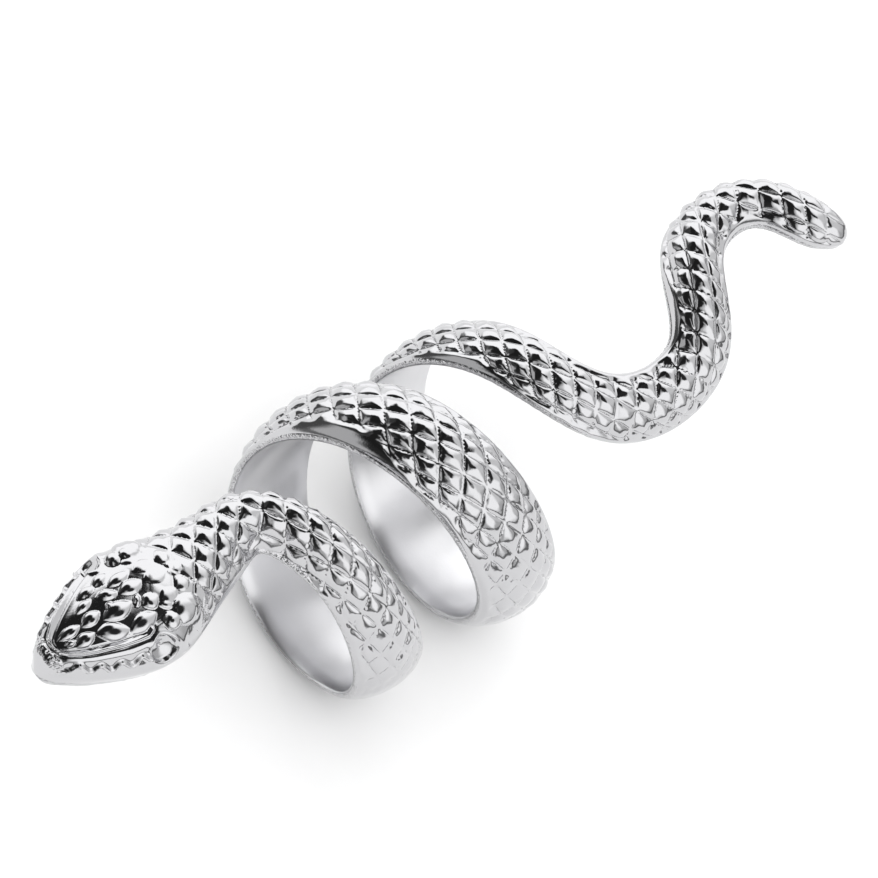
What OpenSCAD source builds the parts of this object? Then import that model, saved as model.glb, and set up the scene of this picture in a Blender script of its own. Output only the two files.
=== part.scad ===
// Snake ring: one cast piece, a snake wound two and a third turns round a finger.
// The snake is laid out on a flat sheet (x along the finger, y round it, z the height
// off the finger) and the sheet is then wrapped round the finger. It rests on two worn
// flats on the palm side, with the head and the tail on top.

/* [Finger] */
// Inside diameter, where the finger goes
finger_d = 17.5; // [15:0.5:22]
// Metal left at the two worn flats that it rests on
flat_t = 1.2; // [1:0.05:1.4]

/* [Body] */
// Share by which the body is wider or narrower
width_share = 1; // [0.8:0.05:1.15]
// Share by which the body's dome is higher or lower
dome_share = 1; // [0.8:0.05:1.3]
// Height of the diamond scales over the grooves between them
scale_h = 0.35; // [0:0.05:0.5]

/* [Head] */
// Height of the brow rim that frames the crown of the head
brow_h = 0.35; // [0:0.05:0.5]
// Height of the fine scales inside the brow rim
crown_scale_h = 0.3; // [0:0.05:0.4]
// Depth of the mouth line
mouth_d = 0.3; // [0:0.05:0.4]
// Height of the two cheek lobes behind each eye
cheek_h = 0.35; // [0:0.05:0.5]
// Mouth of each empty eye seat
eye_d = 2; // [1.2:0.1:2.2]
// Depth of each eye seat
eye_depth = 0.8; // [0.4:0.1:1]

/* [Hidden] */

// The centre line on the sheet, for a 17.5 mm finger: the distance from the snout, and
// the heading there in degrees, 0 along the finger and 90 round it.
ROUTE = [
    // distance, heading
    [0, 4], [13, -9], [18, -13], [20, 26], [22, 61], [25, 67], [29, 77], [40, 77],
    [47, 88], [58, 78], [68, 73], [80, 74], [89, 78], [100, 85], [112, 83], [122, 75],
    [134, 75], [138, 56], [142, 22], [145, 0], [148, -20], [151, -58], [154, -61],
    [157, -48], [160, -20], [163, 5], [165.5, 48], [168, 72], [172, 38]
];
// Cross-sections along the snake. Head is 1 where the section is the head's boxy one and 0
// where it is the body's dome. Scales is the share of the scales' full height.
SECTIONS = [
    // distance, half width, crown, edge, head, scales
    [0,    0.3, 1.9, 1.3, 1,   0],
    [0.6,  1.0, 2.5, 1.2, 1,   0],
    [1.5,  1.8, 2.9, 1.1, 1,   0],
    [3.5,  2.6, 3.3, 1.0, 1,   0],
    [6,    3.7, 3.6, 1.0, 1,   0],
    [8.5,  4.2, 3.7, 1.0, 1,   0],
    [10,   4.1, 3.6, 1.0, 1,   0],
    [11.5, 3.7, 3.4, 0.9, 0.8, 0.3],
    [13.5, 3.2, 3.2, 0.6, 0.5, 1],
    [16,   2.8, 3.1, 0.4, 0,   1],
    [20,   2.1, 3.0, 0.4, 0,   1],
    [28,   2.4, 2.9, 0.4, 0,   1],
    [34,   2.8, 2.2, 0.4, 0,   1],
    [40,   3.2, 1.5, 0.4, 0,   0],
    [54,   3.3, 1.5, 0.4, 0,   0],
    [60,   3.5, 1.8, 0.4, 0,   1],
    [69,   3.7, 1.9, 0.4, 0,   1],
    [81,   3.5, 2.1, 0.4, 0,   1],
    [91,   3.4, 2.0, 0.4, 0,   0.8],
    [100,  3.6, 1.7, 0.4, 0,   0],
    [112,  3.5, 1.4, 0.4, 0,   0],
    [119,  3.4, 1.5, 0.4, 0,   1],
    [129,  2.8, 1.4, 0.4, 0,   1],
    [137,  2.4, 1.7, 0.4, 0,   1],
    [145,  2.4, 2.0, 0.4, 0,   1],
    [153,  2.3, 2.1, 0.4, 0,   1],
    [161,  2.2, 2.3, 0.4, 0,   1],
    [167,  2.1, 2.1, 0.4, 0,   0.7],
    [170,  1.9, 1.9, 0.6, 0.5, 0],
    [171.4, 1.2, 1.5, 0.7, 1,  0],
    [172,  0.3, 1.1, 0.8, 1,   0]
];
// The finger that ROUTE is given for
ROUTE_FINGER_D = 17.5;
// Turn of the snout round the finger, in degrees from the top
SNOUT_TURN = -2.6;

finger_r = finger_d / 2;
// How much the sheet grows with the finger
sheet_share = finger_d / ROUTE_FINGER_D;
HALF_WIDTHS = column(SECTIONS, 1);
CROWNS = column(SECTIONS, 2);
EDGES = column(SECTIONS, 3);
HEADS = column(SECTIONS, 4);
SCALES = column(SECTIONS, 5);
function column(table, k) = [for (row = table) [row[0], row[k]]];

// Rings of points across the snake: closer together towards the snout, and even on the body
HEAD_L = 13;
HEAD_RINGS = 26;
HEAD_SPREAD = 1.3;
BODY_RINGS = 254;
BODY_END = 172;
body_step = (BODY_END - HEAD_L) / BODY_RINGS;
stations = concat(
    [for (i = [0:HEAD_RINGS]) HEAD_L * pow(i / HEAD_RINGS, HEAD_SPREAD)],
    [for (i = [1:BODY_RINGS]) HEAD_L + i * body_step]
);
last = len(stations) - 1;

// The centre line, one [x, y] on the sheet for each station
function leap(i) = i < last ? (stations[i + 1] - stations[i]) * sheet_share : 0;
function way(i) = i < last ? lookup((stations[i] + stations[i + 1]) / 2, ROUTE) : 0;
line = [
    for (
        i = 0, x = 0, y = SNOUT_TURN * PI / 180 * finger_r;
        i <= last;
        x = x + leap(i) * cos(way(i)), y = y + leap(i) * sin(way(i)), i = i + 1
    ) [x, y]
];

// A point of the sheet, wrapped round the finger. Nothing reaches below the flats.
function wrap(x, y, z) =
    let (turn = y / finger_r * 180 / PI, r = finger_r + z)
    [x, -r * sin(turn), max(r * cos(turn), -finger_r - flat_t)];
// A point beside the centre line, on the left where w is positive
function beside(i, w, z) =
    let (h = lookup(stations[i], ROUTE))
    wrap(line[i][0] - w * sin(h), line[i][1] + w * cos(h), z);

// Height of the section at station s. Side is the place across it, from -1 to 1.
DOME_POWERS = [2, 0.7];
BOX_POWERS = [2.8, 0.45];
function mix(from, to, share) = from + (to - from) * share;
function section_z(s, side) =
    let (
        powers = mix(DOME_POWERS, BOX_POWERS, lookup(s, HEADS)),
        edge = lookup(s, EDGES),
        crown = edge + (lookup(s, CROWNS) - edge) * dome_share
    )
    edge + (crown - edge) * pow(max(0, 1 - pow(abs(side), powers[0])), powers[1]);

// Relief. Each ring has a row of points, at an even angle a from 0 at one edge to 180 at
// the other, and the patterns follow the rings and the angle, so grooves lie on mesh lines.
BODY_SPANS = 16;
HEAD_SPANS = 32;
SCALE_POINTS = 4;
function tent(distance, reach) = max(0, 1 - abs(distance) / reach);
// Diamonds between two sets of crossing grooves: i counts rings and j counts points
function diamond(i, j) =
    abs(sin(180 * (i + j) / SCALE_POINTS) * sin(180 * (i - j) / SCALE_POINTS));
// The scales stop short of both edges
SCALE_MARGIN = 20;
SCALE_FADE = 15;
function off_edge(a) = min(1, max(0, (min(a, 180 - a) - SCALE_MARGIN + SCALE_FADE) / SCALE_FADE));

// The brow rim runs back from a round tip on the snout, half its opening each side of the
// top. The crown's fine scales start inside it and run on past its ends.
SPAN_A = 180 / HEAD_SPANS;
BROW_A = 6 * SPAN_A;
BROW_TIP = 1.4;
BROW_ROUND = 1.2;
BROW_END = 8;
RIM_W = 0.4;
CROWN_END = 12;
function brow_a(s) =
    let (t = min(1, max(0, (s - BROW_TIP) / BROW_ROUND)))
    BROW_A * sqrt(1 - (1 - t) * (1 - t));
// The mouth line on both sides, five points up, with a bead beside each ring's point of it,
// above and below it by turns
MOUTH_A = 5 * SPAN_A;
MOUTH_FROM = 0.8;
MOUTH_TO = 6.4;
BEAD_SHARE = 0.6;
// Cheek lobes: distance, side, radius
CHEEKS = [[9.1, 0.57, 0.8], [10.4, 0.56, 1.2]];
function lobe(s, side, row) =
    let (
        across = (abs(side) - row[1]) * lookup(s, HALF_WIDTHS),
        away = sqrt(pow(s - row[0], 2) + pow(across, 2)) / row[2]
    )
    max(0, 1 - away * away);
function head_relief(i, s, j) =
    let (
        a = j * SPAN_A,
        off_top = abs(a - 90),
        up = min(a, 180 - a),
        off_rim = off_top - brow_a(s),
        at_tip = s < BROW_TIP + RIM_W,
        rim = s > BROW_TIP && s < BROW_END ? tent(at_tip ? max(0, off_rim) : off_rim, SPAN_A) : 0,
        in_brow = !at_tip && s < CROWN_END && off_rim < -SPAN_A / 2,
        bead_a = MOUTH_A + (i % 2 == 0 ? SPAN_A : -SPAN_A),
        mouth = tent(up - MOUTH_A, SPAN_A / 2) - BEAD_SHARE * tent(up - bead_a, SPAN_A / 2)
    )
    brow_h * rim
    + (in_brow ? crown_scale_h * diamond(i, j) : 0)
    - (s > MOUTH_FROM && s < MOUTH_TO ? mouth_d * mouth : 0)
    + cheek_h * max([for (row = CHEEKS) lobe(s, cos(a), row)]);
function relief(i, s, j, spans) =
    let (body_j = j * BODY_SPANS / spans)
    scale_h * lookup(s, SCALES) * off_edge(180 * j / spans) * diamond(i, body_j)
    + (spans == HEAD_SPANS ? head_relief(i, s, j) : 0);

// One ring: the dome from edge to edge, then three points on the finger
function ring(i, spans) =
    let (s = stations[i], half = lookup(s, HALF_WIDTHS) * width_share)
    concat(
        [for (j = [0:spans])
            let (a = 180 * j / spans, rise = relief(i, s, j, spans))
            beside(i, cos(a) * half + rise * cos(a), section_z(s, cos(a)) + rise * sin(a))],
        [for (side = [-1, 0, 1]) beside(i, side * half, 0)]
    );
function spans_at(i) = i <= HEAD_RINGS ? HEAD_SPANS : BODY_SPANS;
FLOOR_POINTS = 3;
function ring_size(i) = spans_at(i) + 1 + FLOOR_POINTS;
// Number of the first point of ring i
function start(i) =
    i <= HEAD_RINGS ? i * ring_size(0)
    : (HEAD_RINGS + 1) * ring_size(0) + (i - HEAD_RINGS - 1) * ring_size(last);

points = [for (i = [0:last]) each ring(i, spans_at(i))];

// Two faces for each square between like rings, split along the groove that crosses it
function square(p, q, j, n, leans) =
    let (k = (j + 1) % n)
    leans ? [[p + j, p + k, q + k], [p + j, q + k, q + j]] : [[p + j, p + k, q + j], [p + k, q + k, q + j]];
function leans(i, j) = (i - j) % SCALE_POINTS == 0;
function strip(i) =
    let (n = ring_size(i))
    [for (j = [0:n - 1]) each square(start(i), start(i + 1), j, n, leans(i, j))];
// From the last ring of the head, two spans at a time, to the body's first
function joint_strip(i) =
    let (p = start(i), q = start(i + 1), n = ring_size(i), m = ring_size(i + 1))
    concat(
        [for (j = [0:BODY_SPANS - 1]) each [
            [p + 2 * j, p + 2 * j + 1, q + j],
            [p + 2 * j + 1, q + j + 1, q + j],
            [p + 2 * j + 1, p + 2 * j + 2, q + j + 1]
        ]],
        [for (j = [0:FLOOR_POINTS])
            let (a = HEAD_SPANS + j, b = BODY_SPANS + j)
            each [
                [p + a, p + (a + 1) % n, q + b],
                [p + (a + 1) % n, q + (b + 1) % m, q + b]
            ]]
    );
// The two ends are fans from the middle of the finger side
function fan(p, spans) = [for (j = [0:spans + FLOOR_POINTS - 1])
    let (hub = spans + 2, n = spans + 1 + FLOOR_POINTS, a = (hub + 1 + j) % n, b = (hub + 2 + j) % n)
    if (b != hub) [p + hub, p + a, p + b]];
faces = concat(
    [for (t = fan(0, HEAD_SPANS)) [t[2], t[1], t[0]]],
    [for (i = [0:last - 1]) each i == HEAD_RINGS ? joint_strip(i) : strip(i)],
    fan(start(last), BODY_SPANS)
);

// Centre of the box round all the points, so the origin is below it on the floor
function middle(k) = (min([for (p = points) p[k]]) + max([for (p = points) p[k]])) / 2;
to_origin = [-middle(0), -middle(1), finger_r + flat_t];

// An eye seat is a cone that points at the snake's middle line
EYE_RING = 17;
EYE_SIDE = 0.81;
EYE_TILT = 42;
EYE_PROUD = 0.4;
module eye_seat(side) {
    s = stations[EYE_RING];
    half = lookup(s, HALF_WIDTHS) * width_share;
    seat = beside(EYE_RING, side * EYE_SIDE * half, section_z(s, EYE_SIDE));
    out = beside(EYE_RING, side * (EYE_SIDE * half + sin(EYE_TILT)), section_z(s, EYE_SIDE) + cos(EYE_TILT));
    way_out = (out - seat) / norm(out - seat);
    reach = eye_depth + EYE_PROUD;
    translate(seat - way_out * eye_depth)
        rotate([0, acos(way_out[2]), atan2(way_out[1], way_out[0])])
            cylinder(h = reach, r1 = 0, r2 = eye_d / 2 * reach / eye_depth, $fn = 32);
}

module snake_ring() {
    color("silver")
        translate(to_origin)
            difference() {
                polyhedron(points = points, faces = faces, convexity = 8);
                eye_seat(1);
                eye_seat(-1);
            }
}

snake_ring();
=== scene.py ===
"""A snake ring, cast in one piece and plated bright: its scales, the carving of its head,
its eye seats and its finish, with a pale studio round it."""

import bpy
import numpy as np
from bpy.props import FloatProperty, FloatVectorProperty, PointerProperty
from mathutils import Matrix, Vector


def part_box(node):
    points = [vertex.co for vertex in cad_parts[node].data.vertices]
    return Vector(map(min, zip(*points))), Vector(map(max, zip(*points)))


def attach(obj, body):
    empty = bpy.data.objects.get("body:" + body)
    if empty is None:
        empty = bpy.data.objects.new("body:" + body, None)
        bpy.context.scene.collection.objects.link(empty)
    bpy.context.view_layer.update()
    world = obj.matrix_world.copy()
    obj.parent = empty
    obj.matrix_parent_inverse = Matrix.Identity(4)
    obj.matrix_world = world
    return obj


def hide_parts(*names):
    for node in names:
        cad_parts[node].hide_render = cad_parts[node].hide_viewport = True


bl_info = {
    "name": "Snake Ring",
    "version": (1, 0, 0),
    "blender": (4, 5, 0),
    "location": "3D View > Sidebar > Snake Ring",
    "description": "A cast snake ring with cut scales, a carved head and a bright plated finish",
    "category": "Add Mesh",
}

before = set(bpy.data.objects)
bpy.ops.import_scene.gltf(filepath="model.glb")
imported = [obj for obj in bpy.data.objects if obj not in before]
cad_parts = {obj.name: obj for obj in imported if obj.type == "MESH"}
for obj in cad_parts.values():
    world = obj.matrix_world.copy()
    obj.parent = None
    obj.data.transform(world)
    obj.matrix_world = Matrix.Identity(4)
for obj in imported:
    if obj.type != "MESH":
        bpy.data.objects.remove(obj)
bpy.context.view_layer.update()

# All the shape is worked out in millimetres, and goes into the mesh in metres
MM = 0.001

# The centre line on a flat sheet, which is wrapped round a 17.5 mm finger: x runs along the
# finger, y round it, and the heading is 0 along x and 90 along y
ROUTE = (
    # distance, heading
    (0, 4), (13, -9), (18, -13), (20, 26), (22, 61), (25, 67), (29, 77), (40, 77),
    (47, 88), (58, 78), (68, 73), (80, 74), (89, 78), (100, 85), (112, 83), (122, 75),
    (134, 75), (138, 56), (142, 22), (145, 0), (148, -20), (151, -58), (154, -61),
    (157, -48), (160, -20), (163, 5), (165.5, 48), (168, 72), (172, 38),
)
HEADING = 1
ROUTE_FINGER = 17.5
SNOUT_TURN = -2.6
LENGTH = 172

# Cross-sections along the snake, in millimetres off the finger. Head is 1 for the head's boxy
# section and 0 for the body's dome. Scales is the share of the grooves' full depth.
SECTIONS = (
    # distance, half width, crown, edge, head, scales
    (0, 0.3, 1.9, 1.3, 1, 0),
    (0.6, 1.0, 2.65, 1.2, 1, 0),
    (1.5, 1.8, 2.9, 1.1, 1, 0),
    (3.5, 2.6, 3.3, 1.0, 1, 0),
    (6, 3.7, 3.6, 1.0, 1, 0),
    (8.5, 4.2, 3.7, 1.0, 1, 0),
    (10, 4.1, 3.6, 1.0, 1, 0),
    (11.5, 3.7, 3.4, 0.9, 0.8, 0.3),
    (13.5, 3.2, 3.2, 0.6, 0.5, 1),
    (16, 2.8, 3.1, 0.4, 0, 1),
    (20, 2.1, 3.0, 0.4, 0, 1),
    (28, 2.4, 2.9, 0.4, 0, 1),
    (34, 2.8, 2.2, 0.4, 0, 0.9),
    (37, 3.0, 1.8, 0.4, 0, 0.2),
    (40, 3.2, 1.5, 0.4, 0, 0),
    (54, 3.3, 1.5, 0.4, 0, 0),
    (60, 3.5, 1.8, 0.4, 0, 1),
    (69, 3.7, 1.9, 0.4, 0, 1),
    (81, 3.5, 2.1, 0.4, 0, 1),
    (91, 3.4, 2.0, 0.4, 0, 1),
    (94, 3.45, 1.95, 0.4, 0, 0.7),
    (96, 3.5, 1.9, 0.4, 0, 0),
    (100, 3.6, 1.7, 0.4, 0, 0),
    (112, 3.5, 1.4, 0.4, 0, 0),
    (119, 3.4, 1.5, 0.4, 0, 1),
    (129, 2.8, 1.4, 0.4, 0, 1),
    (137, 2.4, 1.7, 0.4, 0, 1),
    (145, 2.4, 2.0, 0.4, 0, 1),
    (153, 2.3, 2.1, 0.4, 0, 1),
    (161, 2.2, 2.3, 0.4, 0, 1),
    (167, 2.1, 2.1, 0.4, 0, 0.9),
    (170, 1.9, 1.9, 0.6, 0.5, 0.8),
    (171.4, 1.2, 1.5, 0.7, 1, 0.3),
    (172, 0.3, 1.1, 0.8, 1, 0),
)
HALF_WIDTH, CROWN, EDGE, HEAD, SCALES = 1, 2, 3, 4, 5
# Powers of the dome's and the box's outline
DOME_POWERS = (2, 0.7)
BOX_POWERS = (2.8, 0.45)

# How far the tables' corners are eased, on each side, and how many places are averaged
EASE = 1.5
EASE_PLACES = 9
# Short steps in which the heading is added up to the centre line
ROUTE_STEP = 0.05

# The two sets of straight, crossing grooves in each scaled stretch. Lean is the direction
# across the grooves, from x towards y. Count is how far, in spacings, the origin on the
# centre line lies past a groove.
LATTICES = (
    # from, to, origin, spacing, lean and count of one set, then of the other
    (0, 45, 22, 1.45, 44, 0, 1.4, -38, 0.47),
    (45, 105, 83, 1.7, 42, 0.72, 1.4, -41, 0.09),
    (105, 172, 147, 1.5, 37, 0.84, 1.4, -39.5, 0.72),
)
# Smooth margins, in degrees up from the near side and from the far side, and their fade
NEAR_MARGINS = (
    # distance, margin
    (12, 20), (16, 30), (19, 4), (25, 0), (26.5, 8), (28.5, 18), (30, 20), (32.5, 15),
    (34, 25), (60, 12), (68, 18), (73, 42), (77, 40), (80, 8), (83, 22), (92, 28),
    (118, 15), (125, 22), (131, 38), (135, 15), (142, 24), (150, 20), (157, 18), (164, 30),
    (168, 20), (172, 10),
)
FAR_MARGINS = (
    # distance, margin
    (12, 20), (40, 20), (60, 15), (90, 20), (118, 18), (140, 35), (147, 22), (150, 34),
    (153.5, 36), (156, 15), (158, 12), (172, 15),
)
MARGIN = 1
MARGIN_FADE = 10
# Each stroke's wall, as a share of the sine, and how soon it thins towards a crossing
WALL = 0.35
STROKE_TAPER = 0.2
# How much deeper than on top the scales are cut at the edges, as a share
FLANK_DEPTH = 0.7

# The head, in distance and degrees up from the near side. Lengths and widths are in mm.
CROWN_SCALES = (
    # distance, angle, half length, half width, turn towards the near side
    (3.3, 77, 0.85, 0.4, -3), (5.2, 72, 1.15, 0.55, 22), (7.25, 67, 1.2, 0.52, -2),
    (2.4, 82, 0.4, 0.2, 10), (2.75, 96, 0.95, 0.33, 0), (4.5, 94, 0.85, 0.38, -5),
    (6.35, 86, 1.2, 0.5, 3), (4.7, 109, 0.8, 0.27, -6), (6.55, 102, 0.75, 0.33, 20),
    (8.2, 95, 0.95, 0.42, 6), (8, 106, 1.05, 0.36, 0), (7, 117, 0.8, 0.33, -6),
    (5.6, 118, 0.85, 0.32, 0), (8.6, 78, 0.65, 0.45, 0), (10.15, 90.5, 0.95, 0.45, 8),
    (10.1, 102, 0.9, 0.4, 6), (9.8, 115, 0.75, 0.42, 0), (9.95, 73, 0.75, 0.42, 0),
    (11.3, 72.5, 0.7, 0.4, 0), (11.6, 86, 0.65, 0.42, 0), (11.65, 100, 0.6, 0.45, 0),
    (11.2, 118, 0.6, 0.45, 0), (9.4, 68.5, 0.6, 0.25, 25), (6.1, 93, 0.35, 0.2, -30),
    (7.9, 84, 0.45, 0.2, -40),
)
# Height of the scales at the back of the head, as a share of the others
BACK_SCALES = 0.35
CHEEKS = (
    # distance, angle, half length, half width
    (9, 57, 0.65, 0.5), (10.4, 55, 1.25, 0.85),
)
BROW_RIM = (
    # distance, angle
    (7.5, 60), (7, 57.5), (6.3, 57.5), (5.3, 58), (3.5, 60), (2.6, 62.5), (1.9, 67),
    (1.5, 76), (1.3, 90), (1.35, 105), (1.5, 114), (2, 120), (3, 127), (4, 130.5), (5, 133),
    (6.7, 135),
)
# The two fine grooves beside the rim, as shares of its height and of its width
RIM_GROOVE = 0.6
RIM_GROOVE_WIDTH = 0.8
# The sunk field's edge inside the rim, as a share of a half turn, and the distance at which
# the field and the full height of its scales run out, with the length of their fade
FIELD_EDGE = 0.015
FIELD_END = 8
FIELD_FADE = 2
BROW_FOLD = (
    # distance, angle
    (1.6, 55), (3, 51), (5.5, 49), (7.4, 51.5), (8.5, 46), (9, 36), (9.1, 24),
)
FOLD_WIDTH = 0.35
# The fold ends this many degrees above the jaw's edge, and fades over as many more
JAW_MARGIN = 8
JAW_FADE = 8
MOUTH = (
    # distance, angle
    (1.4, 29), (2.05, 42), (2.65, 28), (3.35, 38), (3.9, 27), (4.65, 38), (5.2, 30),
    (6.05, 40), (6.5, 33),
)
MOUTH_GROOVE = (
    # distance, angle
    (0.9, 30), (2.6, 27), (4, 29), (6.6, 36),
)
LIP_WIDTH = 0.15
# The groove that the lip lies in: its depth as a share of the lip's height, and its width
LIP_GROOVE = 0.4
LIP_GROOVE_WIDTH = 0.5
# Places to each swing of the mouth line
SWING_PLACES = 8
# Beads on the snout: their number, the angles that they lie between, where their field
# starts, its length at angle 0, the degrees in which that falls by 1 mm, their radii, and
# their height as a share of the lip's
NOSE_BEADS = 48
NOSE_ANGLES = (18, 90)
NOSE_START = 0.4
NOSE_FIELD = 1.05
NOSE_NARROWING = 150
NOSE_RADIUS = (0.1, 0.16)
NOSE_HEIGHT = 0.35
# Two rows of small beads behind the near cheek
COLLARS = (
    # the points of each row, in distance and angle
    ((10.9, 27), (12.3, 52), (12.2, 68)),
    ((11.6, 22), (12.4, 48)),
)
# Radius of the collars' beads, and their height as a share of it
COLLAR_BEAD = 0.09
COLLAR_HEIGHT = 0.8
# Middle of the eye seat, and how far its axis leans from upright towards its own side
EYE = (7.6, 38)
EYE_LEAN = 42
# The flank of the head is shorter than the dome rolled out flat
EYE_STRETCH = 0.85
# Rim of the seat: its width, and its height as a share of the seat's depth
EYE_RIM = 0.13
EYE_RIM_RISE = 0.15
# Share of the seat's depth that is its steep wall, and the pit in its middle: its reach, and
# its depth as a share of the seat's
EYE_WALL = 0.4
EYE_PIT = 0.1
EYE_PIT_SINK = 0.2

# Rough marks left by the casting where the rows of scales run out
CAST_MARKS = (
    # distance, angle
    (33.6, 109), (33.7, 129), (34, 84), (89.6, 62), (90.6, 110), (92.6, 73),
)
# Beads in each mark, their reach from its middle in mm, their radius and their height
MARK_BEADS = 7
MARK_REACH = 0.35
MARK_RADIUS = (0.15, 0.24)
MARK_HEIGHT = 0.09

# Rings of points. The head has twice the spans of the body, and the two meet at HEAD_END.
HEAD_END = 14
HEAD_SPANS = 160
BODY_SPANS = 80
# Degrees by which the points are drawn in towards the mid-line, where the scales are
CROWDING = 8
RING_STEPS = (
    # distance, step
    (0, 0.09), (13, 0.1), (15, 0.165), (35, 0.165), (37, 0.6), (56, 0.6), (58, 0.165),
    (94, 0.165), (96, 0.6), (115, 0.6), (117, 0.165), (172, 0.165),
)
# Places at which those steps are added up, in each of the two stretches
STEP_PLACES = 10000
# The two ends are rounded over this length
TIP = 0.5
TIP_RINGS = 9
# Underside: rounded corners, points on each corner, and points between them
CORNER = 0.15
CORNER_POINTS = 4
FLOOR_POINTS = 5
UNDER_POINTS = 2 * CORNER_POINTS + FLOOR_POINTS
# Least reach of the flat between the corners, as a share of the half width
LEAST_FLAT = 0.2
# Ripple of the cast edges: radians to a millimetre and start of each of its sines, and the
# heights between which it fades in from the bottom and out again
RIPPLES = ((5.1, 0), (8.7, 1), (13.3, 2))
RIPPLE_FOOT = 0.1
RIPPLE_TOP = 0.5

# Finish, by millimetres above the bore: where satin turns bright, and where the rough cast
# skin starts and ends
# SATIN_END also sets where the bore's painted paler colour gives way to the plating's
SATIN_END = (0.1, 0.25)
SKIN_START = (0.05, 0.2)
SKIN_END = (0.35, 0.6)
# Roughness of the satin, and the least and the most of the bright metal
SATIN = 0.28
POLISH = (0.04, 0.12)

# Camera: what it looks at, and from where. Azimuth is 0 from -Y and turns towards +X.
AIM = (-0.3, 0.3, 18)
CAMERA_DISTANCE = 400
CAMERA_AZIMUTH = -56.7
CAMERA_ELEVATION = 56.45
CAMERA_ROLL = 20.7
LENS = 234.1
SENSOR = 36

# The studio round the ring: grey all round, bright in three places, and dark where a long
# black cloth hangs over the ring
GREY = 0.64
# A dark gap low down, between the table and the light: sine of its height, half of its
# plain width and half of its whole width, and its brightness
GAP_HEIGHT = 0.11
GAP_WIDTHS = (0.04, 0.1)
GAP = 0.19
BRIGHT_SIDES = (
    # azimuth, elevation, outer and inner reach, brightness
    (85, 45, 40, 20, 0.95), (140, 25, 48, 28, 1.65), (0, 48, 42, 22, 1.5),
)
CLOTH = (
    # azimuth, elevation, outer and inner reach, brightness
    (-84, 10, 16, 6, 0.13), (-78, 28, 20, 10, 0.05), (-95, 40, 20, 12, 0.03),
    (-118, 57, 24, 16, 0.02), (176, 60, 26, 17, 0.02), (80, 78, 22, 12, 0.03),
    (-160, 40, 18, 8, 0.06), (-160, 10, 24, 12, 0.1),
)

# The lamp's width, height and watts, and half the side of the floor
LAMP_WIDTH = 3000
LAMP_HEIGHT = 1500
LAMP_POWER = 27
HALF_FLOOR = 3000


def linear(hex_colour):
    """An sRGB colour such as C8CACC as linear red, green and blue."""
    parts = [int(hex_colour[i:i + 2], 16) / 255 for i in (0, 2, 4)]
    return tuple(v / 12.92 if v <= 0.04045 else ((v + 0.055) / 1.055) ** 2.4 for v in parts)


def length(name, description, default, low, high):
    """A length property, given in millimetres."""
    return FloatProperty(
        name=name, description=description, default=default * MM, min=low * MM, max=high * MM,
        precision=5, unit="LENGTH", subtype="DISTANCE",
    )


class SnakeSizes(bpy.types.PropertyGroup):
    """Sizes of the ring that a user would change."""

    finger: length("Finger", "Inside diameter, where the finger goes", 17.5, 15, 22)
    flat: length("Worn flat", "Metal left at the two flats that it rests on", 1.2, 1, 1.4)
    swell: length("Swell", "Height of the scales' tops over the plain dome", 0.17, 0, 0.4)
    groove: length("Groove", "Depth of the grooves between the scales", 0.19, 0, 0.4)
    dome: length("Scale dome", "Height of each scale's blunt point", 0.16, 0, 0.3)
    crown_scale: length("Crown scale", "Height of the scales on the head", 0.23, 0, 0.4)
    crown_sink: length("Crown sink", "Depth of the field inside the brow rim", 0.15, 0, 0.2)
    rim: length("Brow rim", "Height of the rim round the crown", 0.14, 0, 0.4)
    rim_width: length("Brow rim width", "Width of the rim round the crown", 0.17, 0.15, 0.6)
    fold: length("Brow fold", "Height of the smooth fold over and behind the eye", 0.14, 0, 0.3)
    mouth: length("Mouth", "Height of the twisted lip", 0.26, 0, 0.4)
    cheek: length("Cheek", "Height of the two cheek lobes", 0.4, 0, 0.6)
    eye: length("Eye seat", "Mouth of each eye seat", 1.85, 1.2, 2.2)
    eye_depth: length("Eye seat depth", "Depth of each eye seat", 0.6, 0.3, 1)
    ripple: length("Cast ripple", "Unevenness of the cast edges", 0.03, 0, 0.1)


class SnakeColours(bpy.types.PropertyGroup):
    """Colours of the finish and of the studio."""

    plating: FloatVectorProperty(
        name="Plating", description="Colour of the bright plated metal",
        default=linear("C3C3C5"), min=0, max=1, size=3, subtype="COLOR",
    )
    # Painted light: the bore's colour is paler than the plating's, though it is the same metal, to
    # brighten the satin bore
    bore: FloatVectorProperty(
        name="Bore", description="Colour of the plated metal where it is left satin",
        default=linear("DEDEE0"), min=0, max=1, size=3, subtype="COLOR",
    )
    floor: FloatVectorProperty(
        name="Floor", description="Colour of the pale floor",
        default=linear("F4F4F4"), min=0, max=1, size=3, subtype="COLOR",
    )
    light: FloatVectorProperty(
        name="Light", description="Colour of the studio's light",
        default=linear("FFFFFF"), min=0, max=1, size=3, subtype="COLOR",
    )


def eased(table, column, s):
    """A column of a table at distance s: straight between the rows, then averaged over a
    window that reaches as far on both sides and shuts towards the snake's two ends."""
    rows = np.array(table, float)
    room = np.clip(np.minimum(s, LENGTH - s), 0, EASE)
    places = [s + share * room for share in np.linspace(-1, 1, EASE_PLACES)]
    return np.mean([np.interp(p, rows[:, 0], rows[:, column]) for p in places], axis=0)


def smooth_step(t):
    """0 below 0, 1 above 1, and three times t squared less twice t cubed between."""
    t = np.clip(t, 0, 1)
    return t * t * (3 - 2 * t)


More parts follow.
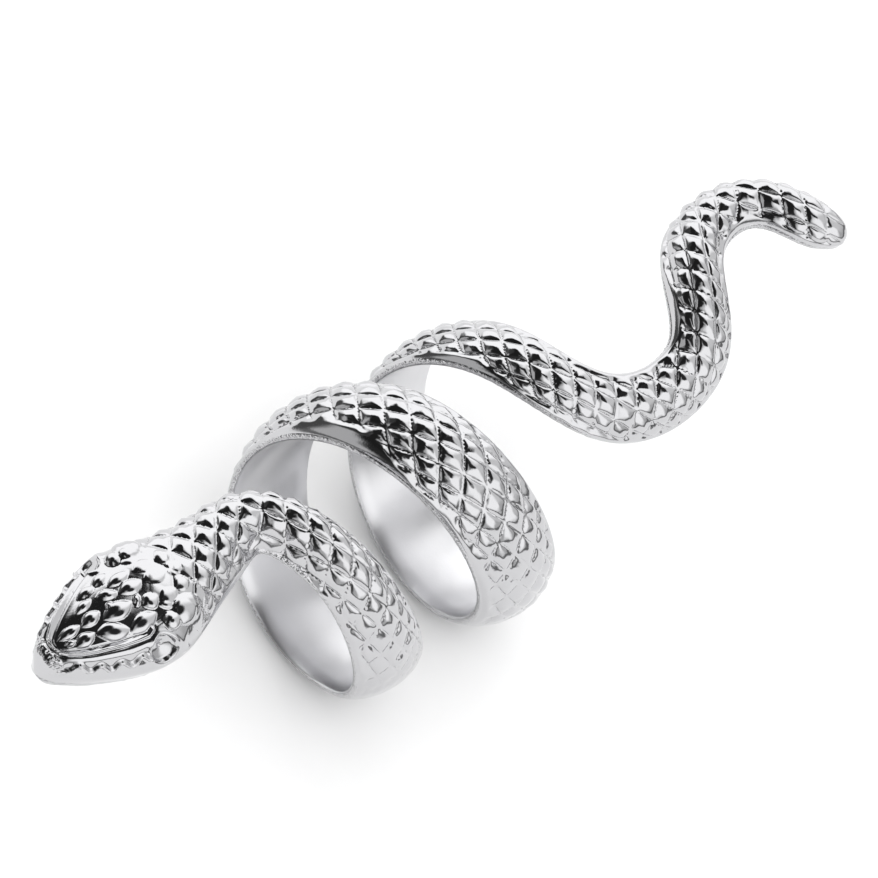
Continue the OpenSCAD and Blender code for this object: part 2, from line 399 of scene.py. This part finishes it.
def centre_line(s, finger):
    """x, y and heading of the centre line at distance s: the sum of short steps along the
    eased heading, from the snout. The sheet grows with the finger."""
    ends = np.arange(0, LENGTH + ROUTE_STEP, ROUTE_STEP)
    way = np.radians(eased(ROUTE, HEADING, (ends[1:] + ends[:-1]) / 2))
    share = finger / ROUTE_FINGER
    x = np.concatenate([[0], np.cumsum(np.cos(way))]) * ROUTE_STEP * share
    y = np.concatenate([[0], np.cumsum(np.sin(way))]) * ROUTE_STEP * share
    y = y + np.radians(SNOUT_TURN) * finger / 2
    return np.interp(s, ends, x), np.interp(s, ends, y), np.radians(eased(ROUTE, HEADING, s))


def rolled(s, a):
    """Millimetres across the snake when its dome is rolled out flat: half the width times
    the angle from the mid-line, positive on the near side."""
    return eased(SECTIONS, HALF_WIDTH, s) * np.radians(90 - a)


def bump(s, w, row):
    """A pillow over an ellipse: the root of one less the squared distance in half lengths
    and half widths from its middle."""
    distance, angle, half_length, half_width = row
    middle = rolled(np.float64(distance), angle)
    away = ((s - distance) / half_length) ** 2 + ((w - middle) / half_width) ** 2
    return np.sqrt(np.maximum(0, 1 - away))


def leaf(s, w, row):
    """A pointed scale, turned about its middle: u and v are the places along and across it,
    in half lengths and half widths, and its height is the root of (1 - u squared) squared
    less v squared."""
    distance, angle, half_length, half_width, turn = row
    t = np.radians(turn)
    ds = s - distance
    dw = w - rolled(np.float64(distance), angle)
    u = (ds * np.cos(t) + dw * np.sin(t)) / half_length
    v = (dw * np.cos(t) - ds * np.sin(t)) / half_width
    return np.sqrt(np.maximum(0, np.maximum(0, 1 - u * u) ** 2 - v * v))


def swinging(line):
    """A line's points, with more on each swing between two of them, on half a cosine."""
    rows = np.array(line, float)
    at = np.linspace(0, len(rows) - 1, SWING_PLACES * (len(rows) - 1) + 1)
    part = np.minimum(at.astype(int), len(rows) - 2)
    share = (1 - np.cos(np.pi * (at - part))) / 2
    d = np.interp(at, np.arange(len(rows)), rows[:, 0])
    a = rows[part, 1] + share * (rows[part + 1, 1] - rows[part, 1])
    return list(zip(d, a))


def bumps(s, w, table):
    """The highest of a table's pillows at each point."""
    return np.max([bump(s, w, row) for row in table], axis=0)


def from_line(s, w, line):
    """Distance in mm from a line drawn through points of distance and angle: the least
    distance to any of its straight parts, with the dome rolled out flat."""
    points = [(d, float(rolled(np.float64(d), a))) for d, a in line]
    nearest = np.inf
    for (s0, w0), (s1, w1) in zip(points[:-1], points[1:]):
        ds, dw = s1 - s0, w1 - w0
        t = np.clip(((s - s0) * ds + (w - w0) * dw) / (ds * ds + dw * dw), 0, 1)
        nearest = np.minimum(nearest, np.hypot(s - s0 - t * ds, w - w0 - t * dw))
    return nearest


def beads_along(line, radius):
    """Round beads in touch along a line of points of distance and angle."""
    rows = np.array(line, float)
    span = np.hypot(np.diff(rows[:, 0]), np.diff([rolled(np.float64(d), a) for d, a in line]))
    run = np.concatenate([[0], np.cumsum(span)])
    at = np.arange(radius, run[-1], 2 * radius)
    return [
        (d, a, radius, radius)
        for d, a in zip(np.interp(at, run, rows[:, 0]), np.interp(at, run, rows[:, 1]))
    ]


def scale_relief(s, a, w, sizes):
    """Scales on the body: the dome swells by the scales' share, and two sets of straight
    strokes are cut into it. Each stroke is a V with rounded lips that thins towards each
    crossing. The tops between them rise to blunt points, by the product of the arcsines of
    the two sets' sines. All of the cut grows from the mid-line to the edges, with one less
    the sine of the angle, and fades at both margins."""
    finger = sizes.finger / MM
    x, y, heading = centre_line(s, finger)
    across_x = x - np.sin(heading) * w
    across_y = y + np.cos(heading) * w
    cut = np.zeros_like(w)
    top = np.ones_like(w)
    for low, high, origin, *sets in LATTICES:
        x0, y0, _ = centre_line(np.float64(origin), finger)
        waves = []
        for spacing, lean, count in (sets[:3], sets[3:]):
            t = np.radians(lean)
            along = (across_x - x0) * np.cos(t) + (across_y - y0) * np.sin(t)
            waves.append(np.abs(np.sin(np.pi * (along / spacing + count))))
        one, other = waves
        strokes = np.maximum(stroke(one, other), stroke(other, one))
        here = (s >= low) & (s < high)
        cut = np.where(here, strokes, cut)
        blunt = np.arcsin(one) * np.arcsin(other) * (2 / np.pi) ** 2
        top = np.where(here, blunt, top)
    share = eased(SECTIONS, SCALES, s)
    near = smooth_step((a - eased(NEAR_MARGINS, MARGIN, s)) / MARGIN_FADE)
    far = smooth_step((180 - a - eased(FAR_MARGINS, MARGIN, s)) / MARGIN_FADE)
    up = np.sin(np.radians(a))
    sunk = (sizes.groove * cut + sizes.dome * (1 - top)) * (1 + FLANK_DEPTH * (1 - up))
    return share * (sizes.swell * up - near * far * sunk) / MM


def stroke(across, along):
    """Depth of one set's strokes, 1 at their bottom: one less the hyperbolic tangent of
    their own sine, by a power of the other set's sine."""
    return (1 - np.tanh(across / WALL)) * along ** STROKE_TAPER


def ridge(away, width):
    """A ridge or groove round a line: the exponential of minus the squared distance."""
    return np.exp(-((away / width) ** 2))


def head_relief(s, a, w, sizes):
    """Carving of the head: a rim between two fine grooves round the crown, with a sunk field
    and pointed scales inside it, a fold over each eye, cheek lobes, a twisted lip that lies
    in a shallow groove, uneven beads round the snout, and beaded collars."""
    both = np.minimum(a, 180 - a)
    w_both = np.abs(w)
    rim_away = from_line(s, w, BROW_RIM)
    half_rim = sizes.rim_width / MM / 2
    beside = ridge(rim_away - 2 * half_rim, RIM_GROOVE_WIDTH * half_rim)
    rim = ridge(rim_away, half_rim) - RIM_GROOVE * beside
    inside = smooth_step(inside_rim(s, a) / FIELD_EDGE)
    fade = 1 - smooth_step((s - FIELD_END) / FIELD_FADE)
    field = sizes.crown_sink * inside * fade
    crown = np.max([leaf(s, w, row) for row in CROWN_SCALES], axis=0)
    crown = crown * (BACK_SCALES + (1 - BACK_SCALES) * fade)
    fold = ridge(from_line(s, w_both, BROW_FOLD), FOLD_WIDTH)
    cheek = bumps(s, w_both, CHEEKS)
    lip = ridge(from_line(s, w_both, swinging(MOUTH)), LIP_WIDTH)
    lip = lip - LIP_GROOVE * ridge(from_line(s, w_both, MOUTH_GROOVE), LIP_GROOVE_WIDTH)
    collar = np.max([bumps(s, w, beads_along(line, COLLAR_BEAD)) for line in COLLARS], axis=0)
    nose = bumps(s, w_both, nose_beads())
    jaw = smooth_step((both - JAW_MARGIN) / JAW_FADE)
    return (
        sizes.rim * rim - field + sizes.crown_scale * crown + sizes.fold * fold * jaw
        + sizes.cheek * cheek + sizes.mouth * (lip + NOSE_HEIGHT * nose)
        + COLLAR_BEAD * MM * COLLAR_HEIGHT * collar
    ) / MM


def inside_rim(s, a):
    """How far a point lies inside the brow rim, as a share of a half turn: the lesser of its
    angles from the rim's near and far side. It is negative outside the rim."""
    rows = np.array(BROW_RIM, float)
    tip = rows[:, 0].argmin()
    near = np.interp(s, rows[tip::-1, 0], rows[tip::-1, 1])
    far = np.interp(s, rows[tip:, 0], rows[tip:, 1])
    inside = np.minimum(a - near, far - a) / 180
    return np.where(s > rows[tip, 0], inside, -1)


def nose_beads():
    """Small uneven beads on the snout, from a seeded draw, in a field that is longest low
    down."""
    draw = np.random.default_rng(5)
    angles = draw.uniform(*NOSE_ANGLES, NOSE_BEADS)
    field = NOSE_FIELD - angles / NOSE_NARROWING
    distances = NOSE_START + draw.uniform(0, 1, NOSE_BEADS) * field
    radii = draw.uniform(*NOSE_RADIUS, NOSE_BEADS)
    return [(d, a, r, r) for d, a, r in zip(distances, angles, radii)]


def mark_beads():
    """Small beads in a cluster at each cast mark, from a seeded draw."""
    draw = np.random.default_rng(7)
    beads = []
    for distance, angle in CAST_MARKS:
        for _ in range(MARK_BEADS):
            ds, dw = draw.uniform(-MARK_REACH, MARK_REACH, 2)
            half = float(eased(SECTIONS, HALF_WIDTH, np.float64(distance)))
            radius = draw.uniform(*MARK_RADIUS)
            beads.append((distance + ds, angle + np.degrees(dw / half), radius, radius))
    return beads


def eye_seat(s, w, sizes):
    """How far the two eye seats sink: a short steep wall, then a cone, straight to its
    middle, with a small pit there and a raised rim round it all."""
    distance, angle = EYE
    side = (np.abs(w) - rolled(np.float64(distance), angle)) * EYE_STRETCH
    away = np.hypot(s - distance, side)
    radius = sizes.eye / MM / 2
    wall = smooth_step((radius - away) / EYE_RIM)
    cone = wall * (EYE_WALL + (1 - EYE_WALL) * np.clip(1 - away / radius, 0, 1))
    rim = EYE_RIM_RISE * ridge(away - radius - EYE_RIM, EYE_RIM)
    pit = EYE_PIT_SINK * ridge(away, EYE_PIT)
    return (cone + pit - rim) * sizes.eye_depth / MM


def section(s, a):
    """Place across and height of the plain section: the half width times the cosine of a, and
    the edge plus the crown's rise times (1 - |cosine| to a power) to another power."""
    half = eased(SECTIONS, HALF_WIDTH, s)
    edge = eased(SECTIONS, EDGE, s)
    rise = eased(SECTIONS, CROWN, s) - edge
    head = eased(SECTIONS, HEAD, s)
    outer, inner = (d + (b - d) * head for d, b in zip(DOME_POWERS, BOX_POWERS))
    side = np.cos(np.radians(a))
    return half * side, edge + rise * np.maximum(0, 1 - np.abs(side) ** outer) ** inner


def underside(s):
    """Across and height of the points below the dome, from the far side to the near side: a
    rounded corner, the flat that lies on the finger, and the other corner."""
    half = eased(SECTIONS, HALF_WIDTH, s)
    turn = np.radians(np.linspace(180, 270, CORNER_POINTS))
    across = np.cos(turn) * CORNER
    height = CORNER + np.sin(turn) * CORNER
    share = np.linspace(-1, 1, FLOOR_POINTS + 2)[1:-1]
    inner = np.maximum(half - CORNER, LEAST_FLAT * half)
    far = -inner + across
    flat = inner * share
    near = inner - across[::-1]
    w = np.concatenate([far, flat, near], axis=1)
    z = np.concatenate([height, np.zeros(FLOOR_POINTS), height[::-1]])
    return w, np.broadcast_to(z, w.shape)


def rings(s, spans, sizes):
    """A block of rings across the snake, as points in millimetres, and the relief at each.
    A ring is the dome, pushed out by its relief along (cosine, sine) of its angle, and then
    the underside. The eye seats sink along their own axes. Towards both ends the rings
    shrink as a quarter circle does, and the sheet is wrapped round the finger."""
    t = np.linspace(0, 1, spans + 1)[None, :]
    a = 180 * t + CROWDING * np.sin(2 * np.pi * t)
    s = s[:, None]
    w = rolled(s, a)
    across, height = section(s, a)
    relief = scale_relief(s, a, w, sizes) + MARK_HEIGHT * bumps(s, w, mark_beads())
    on_head = s[:, 0] < HEAD_END
    relief[on_head] += head_relief(s[on_head], a, w[on_head], sizes)
    seat = eye_seat(s, w, sizes)
    lean = np.radians(EYE_LEAN)
    across = across + relief * np.cos(np.radians(a)) - seat * np.sin(lean) * np.sign(w)
    height = height + relief * np.sin(np.radians(a)) - seat * np.cos(lean)
    under_across, under_height = underside(s)
    across = np.concatenate([across, under_across], axis=1)
    height = np.concatenate([height, under_height], axis=1)
    across = across + np.sign(across) * sizes.ripple / MM * ripple(s, height)
    from_end = np.clip(np.minimum(s, LENGTH - s) / TIP, 0, 1)
    shrink = np.sqrt(1 - (1 - from_end) ** 2)
    middle = eased(SECTIONS, CROWN, s) / 2
    points = wrap(s, across * shrink, middle + (height - middle) * shrink, sizes)
    return points, np.pad(relief - seat, ((0, 0), (0, UNDER_POINTS)))


def ripple(s, height):
    """Unevenness of the cast edges: the mean of sines of unlike length, times a rise from
    the bottom and a fall to the ripple's top."""
    wave = sum(np.sin(rate * s + start) for rate, start in RIPPLES) / len(RIPPLES)
    return wave * np.clip(1 - height / RIPPLE_TOP, 0, 1) * np.clip(height / RIPPLE_FOOT, 0, 1)


def wrap(s, across, height, sizes):
    """Points beside the centre line, wrapped round the finger: x stays, and y becomes a turn
    at the finger's radius plus the height. Nothing reaches below the worn flats."""
    radius = sizes.finger / MM / 2
    x, y, heading = centre_line(s, sizes.finger / MM)
    turn = (y + across * np.cos(heading)) / radius
    r = radius + height
    floor = -radius - sizes.flat / MM
    return np.stack([
        x - across * np.sin(heading), -r * np.sin(turn), np.maximum(r * np.cos(turn), floor),
    ], axis=-1)


def stations():
    """Distances of the rings: crowded into the rounded ends, and as far apart between them
    as RING_STEPS says, with one just at HEAD_END."""
    rows = np.array(RING_STEPS, float)
    tip = TIP * (1 - np.cos(np.linspace(0, np.pi / 2, TIP_RINGS + 1)[1:-1]))
    parts = [tip]
    for low, high in ((TIP, HEAD_END), (HEAD_END, LENGTH - TIP)):
        at = np.linspace(low, high, STEP_PLACES)
        step = np.interp(at[1:], rows[:, 0], rows[:, 1])
        count = np.concatenate([[0], np.cumsum(np.diff(at) / step)])
        parts.append(np.interp(np.linspace(0, count[-1], int(count[-1]) + 1), count, at))
    # The body's stretch starts on the head's last ring, which is there already
    parts[-1] = parts[-1][1:]
    return np.concatenate(parts + [LENGTH - tip[::-1]])


def strips(start, relief):
    """Faces between rings of points, which start at a point's number: two triangles for each
    square between neighbours, round the closed ring. Each square is split between the two
    corners whose relief is more alike, so that no groove's floor is cut across."""
    count, n = relief.shape
    ring = start + n * np.arange(count - 1)[:, None]
    j = np.arange(n)[None, :]
    k = (j + 1) % n
    p, q, r, t = ring + j, ring + k, ring + n + k, ring + n + j
    beside = np.roll(relief, -1, axis=1)
    rising = np.abs(relief[:-1] - beside[1:])
    falling = np.abs(beside[:-1] - relief[1:])
    squares = np.where(
        (rising <= falling)[..., None],
        np.stack([p, t, r, p, r, q], axis=-1), np.stack([p, t, q, t, r, q], axis=-1),
    )
    return squares.reshape(-1, 3)


def seam(start, fine, coarse):
    """Faces from the head's last ring, whose dome has twice the spans, to the body's first:
    three triangles for each of the body's spans, and two for each span of the underside."""
    after = start + fine
    j = np.arange(BODY_SPANS)
    p, q = start + 2 * j, after + j
    dome = np.stack([p, q, p + 1, p + 1, q, q + 1, p + 1, q + 1, p + 2], axis=-1).reshape(-1, 3)
    j = np.arange(UNDER_POINTS + 1)
    p, q = start + HEAD_SPANS + j, after + BODY_SPANS + j
    p1 = start + (HEAD_SPANS + j + 1) % fine
    q1 = after + (BODY_SPANS + j + 1) % coarse
    under = np.stack([p, q, q1, p, q1, p1], axis=-1).reshape(-1, 3)
    return np.concatenate([dome, under])


def fan(pole, start, n, turned):
    """Faces from a pole to a ring of n points."""
    j = np.arange(n)
    p, q = start + j, start + (j + 1) % n
    hub = np.full(n, pole)
    return np.stack([hub, q, p] if turned else [hub, p, q], axis=-1)


def snake_surface(sizes):
    """All the points and faces: head rings, body rings, and a pole at each end. The box round
    the points is centred over the origin, as the solid's is."""
    s = stations()
    head, head_rise = rings(s[s <= HEAD_END], HEAD_SPANS, sizes)
    body, body_rise = rings(s[s > HEAD_END], BODY_SPANS, sizes)
    ends = np.array([[0.0], [LENGTH]])
    poles = wrap(ends, np.zeros((2, 1)), eased(SECTIONS, CROWN, ends) / 2, sizes)[:, 0]
    points = np.concatenate([head.reshape(-1, 3), body.reshape(-1, 3), poles])
    fine, coarse = head.shape[1], body.shape[1]
    first_body = head.shape[0] * fine
    last_ring = first_body + (body.shape[0] - 1) * coarse
    snout = last_ring + coarse
    faces = np.concatenate([
        fan(snout, 0, fine, False),
        strips(0, head_rise),
        seam(first_body - fine, fine, coarse),
        strips(first_body, body_rise),
        fan(snout + 1, last_ring, coarse, True),
    ])
    low, high = points.min(axis=0), points.max(axis=0)
    box_low, box_high = (np.array(corner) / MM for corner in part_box("snake_ring"))
    shift = (box_low + box_high - low - high) / 2
    shift[2] = box_low[2] - low[2]
    return points + shift, faces


def new_mesh(name, points, faces):
    """A smooth mesh object of triangles, from points in millimetres."""
    mesh = bpy.data.meshes.new(name)
    mesh.vertices.add(len(points))
    mesh.vertices.foreach_set("co", (points * MM).astype(np.float32).ravel())
    mesh.loops.add(faces.size)
    mesh.loops.foreach_set("vertex_index", faces.astype(np.int32).ravel())
    mesh.polygons.add(len(faces))
    mesh.polygons.foreach_set("loop_start", np.arange(0, faces.size, 3, dtype=np.int32))
    mesh.update(calc_edges=True)
    if mesh.validate(clean_customdata=False):
        raise RuntimeError(f"{name} has faces that Blender had to mend")
    mesh.shade_smooth()
    piece = bpy.data.objects.new(name, mesh)
    bpy.context.scene.collection.objects.link(piece)
    return piece


def add_node(tree, kind, settings=None, values=None, links=None):
    """Adds a node with its settings, its sockets' values and the sockets that feed it."""
    node = tree.nodes.new(kind)
    for name, value in (settings or {}).items():
        setattr(node, name, value)
    for name, value in (values or {}).items():
        node.inputs[name].default_value = value
    for name, source in (links or {}).items():
        tree.links.new(source, node.inputs[name])
    return node


def plated_alloy(colours, sizes):
    """Zinc alloy, cast, tumbled and plated bright: an almost clear mirror, a little uneven
    from the casting, with grain that roughens the edges of what it mirrors. The bore, which
    the tumbling doesn't reach as well, is left satin, and mirrors in soft gradients."""
    bore = sizes.finger / 2
    material = bpy.data.materials.new("bright_plated_zinc_alloy")
    material.use_nodes = True
    tree = material.node_tree
    tree.nodes.clear()
    place = add_node(tree, "ShaderNodeTexCoord").outputs["Object"]
    # Soft swells of the tumbled casting, about 1.5 mm across
    swell = add_node(
        tree, "ShaderNodeTexNoise", {}, {"Scale": 1 / (1.5 * MM), "Detail": 1}, {"Vector": place},
    )
    # Grain of the cast skin, about 0.16 mm across, as fine as the render can show
    grain = add_node(
        tree, "ShaderNodeTexNoise", {}, {"Scale": 1 / (0.16 * MM), "Detail": 2}, {"Vector": place},
    )
    polished = add_node(
        tree, "ShaderNodeMapRange", {}, {"To Min": POLISH[0], "To Max": POLISH[1]},
        {"Value": grain.outputs["Fac"]},
    )
    # Distance from the finger's axis, which runs along X
    axis = add_node(
        tree, "ShaderNodeVectorMath", {"operation": "SUBTRACT"},
        {1: (0, 0, bore + sizes.flat)}, {0: place},
    )
    out = add_node(
        tree, "ShaderNodeVectorMath", {"operation": "MULTIPLY"}, {1: (0, 1, 1)},
        {0: axis.outputs["Vector"]},
    )
    radius = add_node(
        tree, "ShaderNodeVectorMath", {"operation": "LENGTH"}, {}, {0: out.outputs["Vector"]},
    )
    # Rough skin of the cast edges, about 0.25 mm across, in a band just above the bore
    skin_noise = add_node(
        tree, "ShaderNodeTexNoise", {}, {"Scale": 1 / (0.25 * MM), "Detail": 2},
        {"Vector": place},
    )
    above_bore = add_node(
        tree, "ShaderNodeMapRange", {},
        {"From Min": bore + SKIN_START[0] * MM, "From Max": bore + SKIN_START[1] * MM},
        {"Value": radius.outputs["Value"]},
    )
    cast_band = add_node(
        tree, "ShaderNodeMapRange", {},
        {"From Min": bore + SKIN_END[1] * MM, "From Max": bore + SKIN_END[0] * MM},
        {"Value": radius.outputs["Value"], "To Max": above_bore.outputs["Result"]},
    )
    cast_skin = add_node(
        tree, "ShaderNodeMath", {"operation": "MULTIPLY"}, {},
        {0: skin_noise.outputs["Fac"], 1: cast_band.outputs["Result"]},
    )
    # Three bumps, one on the other: the swells, the cast skin and the grain
    low = add_node(
        tree, "ShaderNodeBump", {}, {"Strength": 1, "Distance": 0.01 * MM},
        {"Height": swell.outputs["Fac"]},
    )
    middle = add_node(
        tree, "ShaderNodeBump", {}, {"Strength": 1, "Distance": 0.3 * MM},
        {"Height": cast_skin.outputs["Value"], "Normal": low.outputs["Normal"]},
    )
    high = add_node(
        tree, "ShaderNodeBump", {}, {"Strength": 1, "Distance": 0.0025 * MM},
        {"Height": grain.outputs["Fac"], "Normal": middle.outputs["Normal"]},
    )
    rough = add_node(
        tree, "ShaderNodeMapRange", {},
        {
            "From Min": bore + SATIN_END[0] * MM, "From Max": bore + SATIN_END[1] * MM,
            "To Min": SATIN,
        },
        {"Value": radius.outputs["Value"], "To Max": polished.outputs["Result"]},
    )
    # The satin bore is given a paler colour than the bright outside, though it is the same
    # plating: painted light that brightens the bore.
    # A Mix node has its colours as sockets 6 and 7, and gives the mixed colour from socket 2.
    off_bore = add_node(
        tree, "ShaderNodeMapRange", {},
        {"From Min": bore + SATIN_END[0] * MM, "From Max": bore + SATIN_END[1] * MM},
        {"Value": radius.outputs["Value"]},
    )
    paint = add_node(
        tree, "ShaderNodeMix", {"data_type": "RGBA"},
        {6: (*colours.bore, 1), 7: (*colours.plating, 1)},
        {0: off_bore.outputs["Result"]},
    )
    skin = add_node(
        tree, "ShaderNodeBsdfPrincipled", {}, {"Metallic": 1},
        {
            "Base Color": paint.outputs[2], "Roughness": rough.outputs["Result"],
            "Normal": high.outputs["Normal"],
        },
    )
    add_node(tree, "ShaderNodeOutputMaterial", links={"Surface": skin.outputs["BSDF"]})
    return material


def matt_floor(colours):
    """Matt white paper, which gives back a soft even light with no gloss."""
    material = bpy.data.materials.new("matt_white_paper")
    material.use_nodes = True
    tree = material.node_tree
    tree.nodes.clear()
    place = add_node(tree, "ShaderNodeTexCoord").outputs["Object"]
    # Tooth of the paper, 0.4 mm
    tooth = add_node(
        tree, "ShaderNodeTexNoise", {}, {"Scale": 1 / (0.4 * MM), "Detail": 2}, {"Vector": place},
    )
    uneven = add_node(
        tree, "ShaderNodeBump", {}, {"Strength": 0.2, "Distance": 0.02 * MM},
        {"Height": tooth.outputs["Fac"]},
    )
    paper = add_node(
        tree, "ShaderNodeBsdfPrincipled", {},
        {"Base Color": (*colours.floor, 1), "Roughness": 1, "Specular IOR Level": 0},
        {"Normal": uneven.outputs["Normal"]},
    )
    add_node(tree, "ShaderNodeOutputMaterial", links={"Surface": paper.outputs["BSDF"]})
    return material


def direction(azimuth, elevation):
    """A unit vector towards a place in the studio: azimuth is 0 at -Y and turns to +X."""
    a, e = np.radians(azimuth), np.radians(elevation)
    return Vector((np.sin(a) * np.cos(e), -np.cos(a) * np.cos(e), np.sin(e)))


def studio(colours):
    """The world: its strength is grey, falls to the gap's brightness low down, and then goes
    smoothly to each row's brightness in turn, between the row's two reaches, by the cosine
    of the angle from the row's middle."""
    world = bpy.data.worlds.new("studio")
    world.use_nodes = True
    tree = world.node_tree
    tree.nodes.clear()
    way = add_node(tree, "ShaderNodeTexCoord").outputs["Generated"]
    upward = add_node(
        tree, "ShaderNodeVectorMath", {"operation": "DOT_PRODUCT"}, {1: (0, 0, 1)}, {0: way},
    )
    from_gap = add_node(
        tree, "ShaderNodeMath", {"operation": "SUBTRACT"}, {1: GAP_HEIGHT},
        {0: upward.outputs["Value"]},
    )
    off_gap = add_node(
        tree, "ShaderNodeMath", {"operation": "ABSOLUTE"}, {}, {0: from_gap.outputs["Value"]},
    )
    level = add_node(
        tree, "ShaderNodeMapRange", {"interpolation_type": "SMOOTHSTEP"},
        {
            "From Min": GAP_WIDTHS[0], "From Max": GAP_WIDTHS[1],
            "To Min": GAP, "To Max": GREY,
        },
        {"Value": off_gap.outputs["Value"]},
    ).outputs["Result"]
    for azimuth, elevation, outer, inner, brightness in BRIGHT_SIDES + CLOTH:
        near = add_node(
            tree, "ShaderNodeVectorMath", {"operation": "DOT_PRODUCT"},
            {1: direction(azimuth, elevation)}, {0: way},
        )
        level = add_node(
            tree, "ShaderNodeMapRange", {"interpolation_type": "SMOOTHSTEP"},
            {
                "From Min": np.cos(np.radians(outer)), "From Max": np.cos(np.radians(inner)),
                "To Max": brightness,
            },
            {"Value": near.outputs["Value"], "To Min": level},
        ).outputs["Result"]
    glow = add_node(
        tree, "ShaderNodeBackground", {}, {"Color": (*colours.light, 1)}, {"Strength": level},
    )
    add_node(tree, "ShaderNodeOutputWorld", links={"Surface": glow.outputs["Background"]})
    return world


def turned(back, roll=0):
    """A turn matrix that looks against back, with its top up, rolled by so many degrees."""
    level = Vector((0, 0, 1)).cross(back).normalized()
    top = back.cross(level)
    r = np.radians(roll)
    right = np.cos(r) * level + np.sin(r) * top
    up = back.cross(right)
    return Matrix((right, up, back)).transposed().to_4x4()


class MESH_OT_snake_ring(bpy.types.Operator):
    """Makes the snake ring as one closed, carved surface"""

    bl_idname = "mesh.snake_ring"
    bl_label = "Snake Ring"

    def execute(self, context):
        sizes = context.scene.snake_sizes
        points, faces = snake_surface(sizes)
        ring = new_mesh("snake_casting", points, faces)
        ring.data.materials.append(plated_alloy(context.scene.snake_colours, sizes))
        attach(ring, "root")
        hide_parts("snake_ring")
        return {"FINISHED"}


class SCENE_OT_snake_studio(bpy.types.Operator):
    """Makes the pale floor, the soft light and the camera"""

    bl_idname = "scene.snake_studio"
    bl_label = "Studio"

    def execute(self, context):
        colours = context.scene.snake_colours
        self.add_floor(colours)
        self.add_lamp(context, colours)
        self.add_camera(context)
        context.scene.world = studio(colours)
        context.scene.view_settings.view_transform = "Standard"
        return {"FINISHED"}

    def add_floor(self, colours):
        """A square of paper, 6 m wide, that the ring lies on."""
        ends = (-HALF_FLOOR, HALF_FLOOR)
        corners = np.array([(x, y, 0) for y in ends for x in ends], float)
        floor = new_mesh("floor", corners, np.array([(0, 1, 3), (0, 3, 2)]))
        floor.data.materials.append(matt_floor(colours))

    def add_lamp(self, context, colours):
        """A wide soft lamp overhead, which lights the floor and isn't mirrored."""
        lamp = bpy.data.lights.new("overhead_lamp", "AREA")
        lamp.shape = "DISK"
        lamp.size = LAMP_WIDTH * MM
        lamp.energy = LAMP_POWER
        lamp.color = colours.light
        holder = bpy.data.objects.new("overhead_lamp", lamp)
        holder.location = (0, 0, LAMP_HEIGHT * MM)
        holder.visible_glossy = False
        context.scene.collection.objects.link(holder)

    def add_camera(self, context):
        """The camera at the photograph's angle."""
        lens = bpy.data.cameras.new("camera")
        lens.lens = LENS
        lens.sensor_width = SENSOR
        lens.clip_start = 0.01
        lens.clip_end = 20
        camera = bpy.data.objects.new("camera", lens)
        back = direction(CAMERA_AZIMUTH, CAMERA_ELEVATION)
        place = (Vector(AIM) + back * CAMERA_DISTANCE) * MM
        camera.matrix_world = Matrix.Translation(place) @ turned(back, CAMERA_ROLL)
        context.scene.collection.objects.link(camera)
        context.scene.camera = camera


class VIEW3D_PT_snake_ring(bpy.types.Panel):
    """Sizes, colours and pieces of the snake ring"""

    bl_label = "Snake Ring"
    bl_space_type = "VIEW_3D"
    bl_region_type = "UI"
    bl_category = "Snake Ring"

    def draw(self, context):
        layout = self.layout
        for group in (context.scene.snake_sizes, context.scene.snake_colours):
            column = layout.column(align=True)
            for name in group.bl_rna.properties.keys():
                if name not in {"rna_type", "name"}:
                    column.prop(group, name)
        layout.operator(MESH_OT_snake_ring.bl_idname)
        layout.operator(SCENE_OT_snake_studio.bl_idname)


CLASSES = (
    SnakeSizes, SnakeColours, MESH_OT_snake_ring, SCENE_OT_snake_studio, VIEW3D_PT_snake_ring,
)


def register():
    """Registers the classes and the scene's two groups of properties."""
    for kind in CLASSES:
        bpy.utils.register_class(kind)
    bpy.types.Scene.snake_sizes = PointerProperty(type=SnakeSizes)
    bpy.types.Scene.snake_colours = PointerProperty(type=SnakeColours)


def unregister():
    """Takes the properties and the classes away again."""
    del bpy.types.Scene.snake_colours
    del bpy.types.Scene.snake_sizes
    for kind in reversed(CLASSES):
        bpy.utils.unregister_class(kind)


def main():
    """Makes the ring and the studio."""
    register()
    bpy.ops.mesh.snake_ring()
    bpy.ops.scene.snake_studio()


if __name__ == "__main__":
    main()
